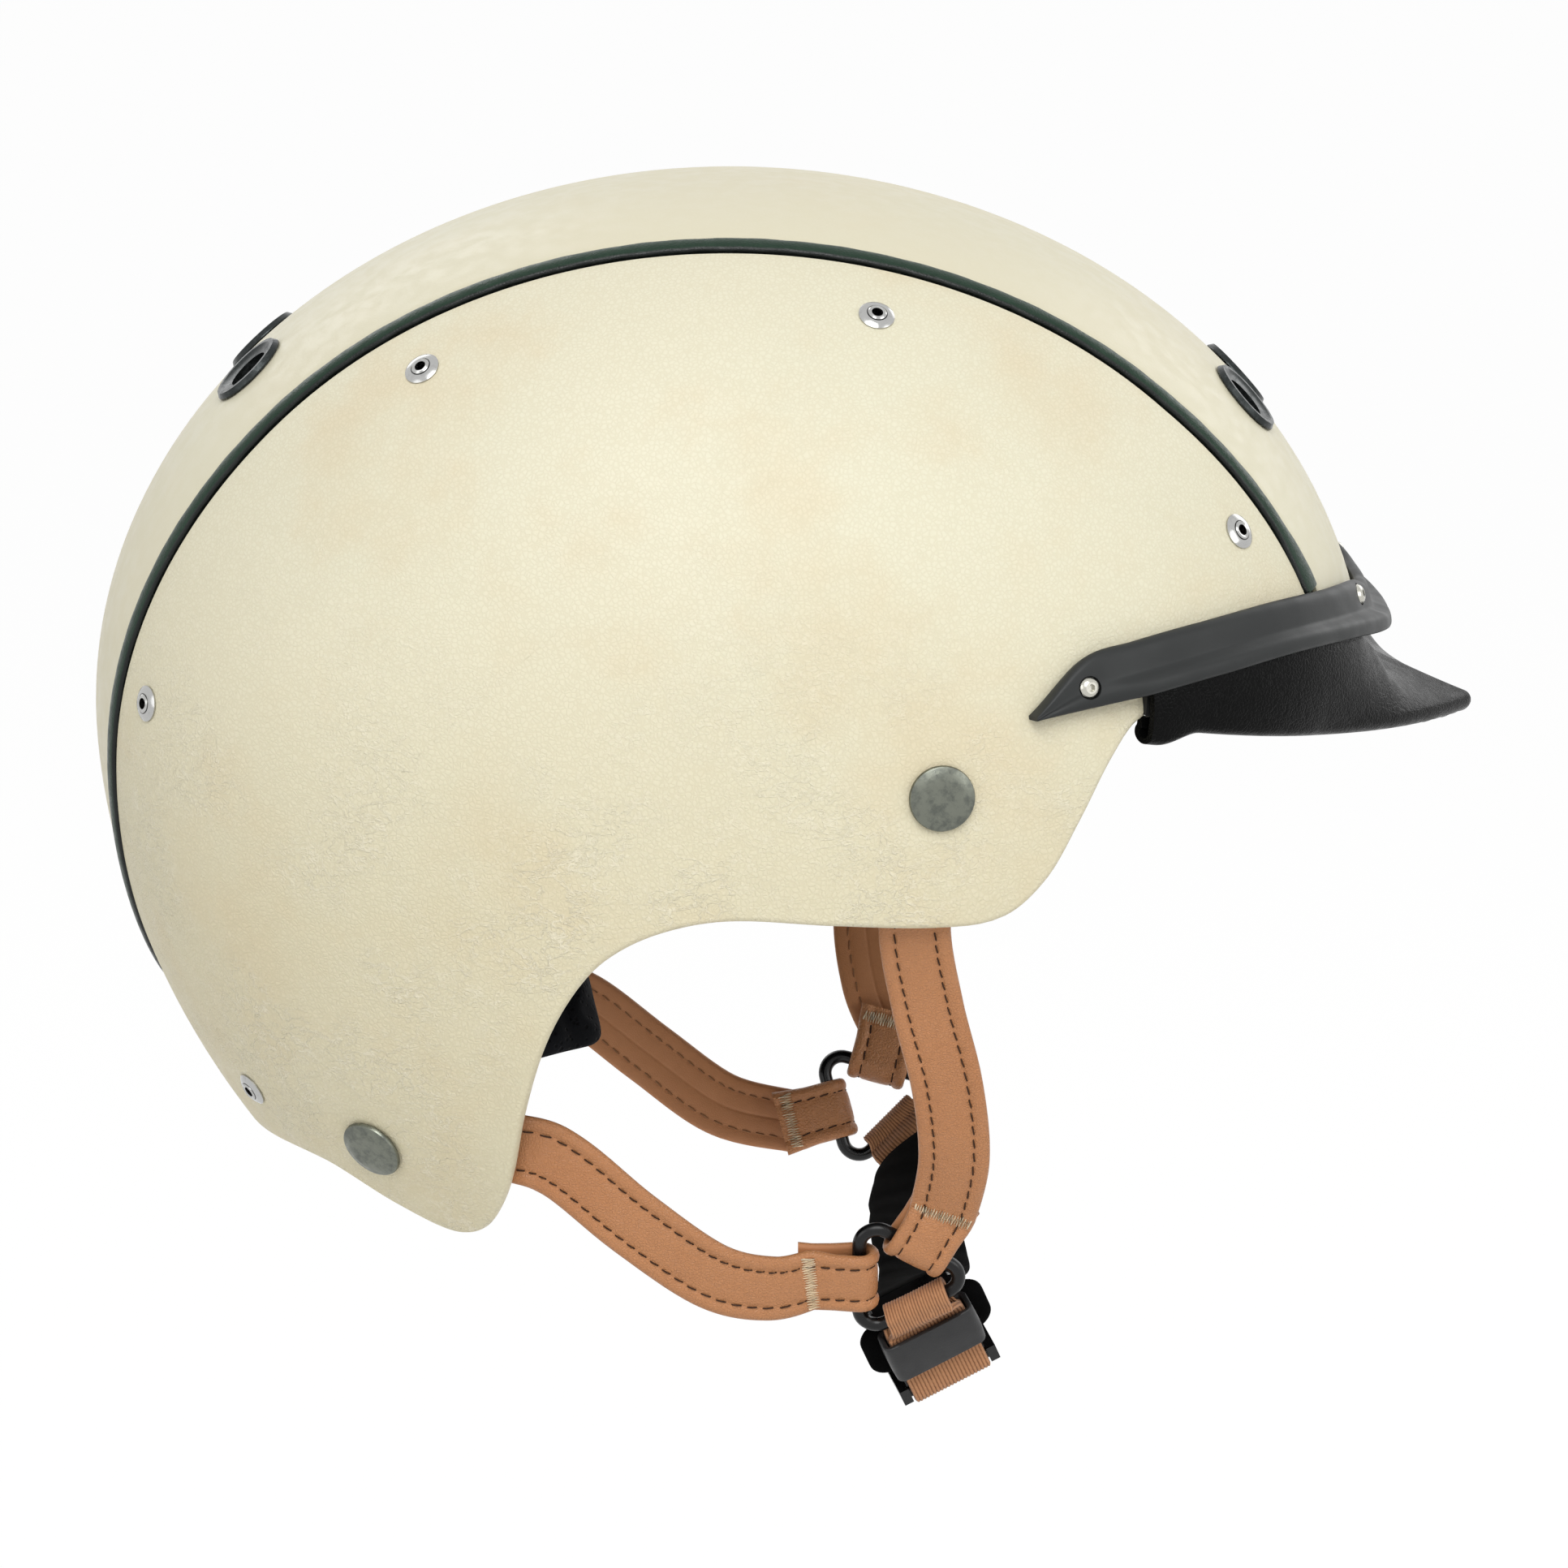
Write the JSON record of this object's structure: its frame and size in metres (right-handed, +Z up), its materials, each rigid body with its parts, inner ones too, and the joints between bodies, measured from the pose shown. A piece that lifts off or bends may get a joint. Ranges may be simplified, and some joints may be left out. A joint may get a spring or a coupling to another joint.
{
  "type": "urban bicycle helmet",
  "caption": "Full-cut urban bicycle helmet with leather covers, a riding-cap peak, a dial-driven fit ring, leather straps and a sliding magnet buckle.",
  "frame": {"origin": "middle of the head space, level with the shell's longest section, on the middle plane", "axes": "+X forwards over the peak, +Y towards the wearer's left, +Z up out of the crown"},
  "size_m": [0.2998, 0.214, 0.2601],
  "materials": {
    "shell_plastic": "moulded pale shell",
    "liner_foam": "moulded bead foam, charcoal",
    "crown_leather": "smooth cream leather with a soft sheen",
    "side_leather": "grained cream leather",
    "piping_leather": "dark green leather piping",
    "vent_metal": "dark satin rings",
    "eyelet_metal": "bright plated eyelets",
    "cap_metal": "polished gunmetal caps",
    "inner_steel": "plain steel",
    "holder_plastic": "matte black moulded band",
    "screw_steel": "steel button heads with a hex socket",
    "nut_brass": "turned brass inserts",
    "board_plastic": "black stiffening board",
    "peak_leather": "fine-grained black leather",
    "strap_leather": "stitched tan leather",
    "ring_metal": "black enamelled wire",
    "webbing": "ribbed tan webbing",
    "sleeve_velour": "black velour",
    "keeper_leather": "smooth black leather",
    "buckle_plastic": "glossy black moulding",
    "magnet_nickel": "nickel-plated magnets",
    "fit_plastic": "black flexible plastic",
    "dial_nylon": "natural nylon",
    "dial_rubber": "soft-touch black rubber",
    "pad_fabric": "black mesh fabric over foam"
  },
  "bodies": {
    "root": {"hard_shell": "shell_plastic", "foam_liner": "liner_foam", "crown_cover": "crown_leather", "side_cover_right": "side_leather", "side_cover_left": "side_leather", "edge_piping": "piping_leather", "front_vent_grommets": "vent_metal", "rear_vent_grommets": "vent_metal", "eyelet_washers": "eyelet_metal", "eyelet_rivets": "eyelet_metal", "anchor_caps": "cap_metal", "anchor_posts": "inner_steel", "anchor_washers": "inner_steel", "peak_holder": "holder_plastic", "holder_screws": "screw_steel", "holder_nuts": "nut_brass", "peak_board": "board_plastic", "peak_top_leather": "peak_leather", "peak_under_leather": "peak_leather", "front_strap_right": "strap_leather", "front_strap_left": "strap_leather", "rear_strap_right": "strap_leather", "rear_strap_left": "strap_leather", "strap_ring_right": "ring_metal", "strap_ring_left": "ring_metal", "chin_webbing_right": "webbing", "chin_webbing_left": "webbing", "chin_sleeve": "sleeve_velour", "chin_pad": "sleeve_velour", "buckle_body": "buckle_plastic", "buckle_body_magnets": "magnet_nickel", "fit_cradle": "fit_plastic", "cradle_cover": "fit_plastic", "cradle_screws": "inner_steel", "detent_spring": "inner_steel", "arm_pegs": "fit_plastic", "forehead_pad": "pad_fabric", "crown_pad": "pad_fabric", "side_pad_right": "pad_fabric", "side_pad_left": "pad_fabric", "nape_pad_right": "pad_fabric", "nape_pad_left": "pad_fabric", "rear_pad": "pad_fabric"},
    "dial": {"dial_knob": "dial_rubber", "dial_shaft": "dial_nylon", "dial_screw": "inner_steel"},
    "arm_right": {"fit_arm_right": "fit_plastic"},
    "arm_left": {"fit_arm_left": "fit_plastic"},
    "tongue": {"buckle_tongue": "buckle_plastic", "buckle_tongue_magnets": "magnet_nickel"},
    "keeper": {"strap_keeper": "keeper_leather"}
  },
  "joints": [
    {"name": "dial_turn", "type": "hinge", "parent": "root", "child": "dial", "pos_m": [-0.0866, 0, -0.0682], "axis": [0.866, 0, 0.5], "range_deg": [0, 222]},
    {"name": "arm_right_turn", "type": "hinge", "parent": "root", "child": "arm_right", "pos_m": [-0.017, 0, -0.028], "axis": [-0.5, 0, 0.866], "range_deg": [-15.1, 0]},
    {"name": "arm_left_turn", "type": "hinge", "parent": "root", "child": "arm_left", "pos_m": [-0.017, 0, -0.028], "axis": [-0.5, 0, 0.866], "range_deg": [0, 14.8]},
    {"name": "buckle_release", "type": "slide", "parent": "root", "child": "tongue", "axis": [0.8904, 0.132, 0.4355], "range_m": [0, 0.014]},
    {"name": "keeper_slide", "type": "slide", "parent": "root", "child": "keeper", "axis": [0.2999, 0.5498, -0.7796], "range_m": [0, 0.003]}
  ],
  "couplings": [
    {"joint": "arm_right_turn", "follows": "dial_turn", "ratio": -0.067385},
    {"joint": "arm_left_turn", "follows": "dial_turn", "ratio": 0.06579}
  ]
}
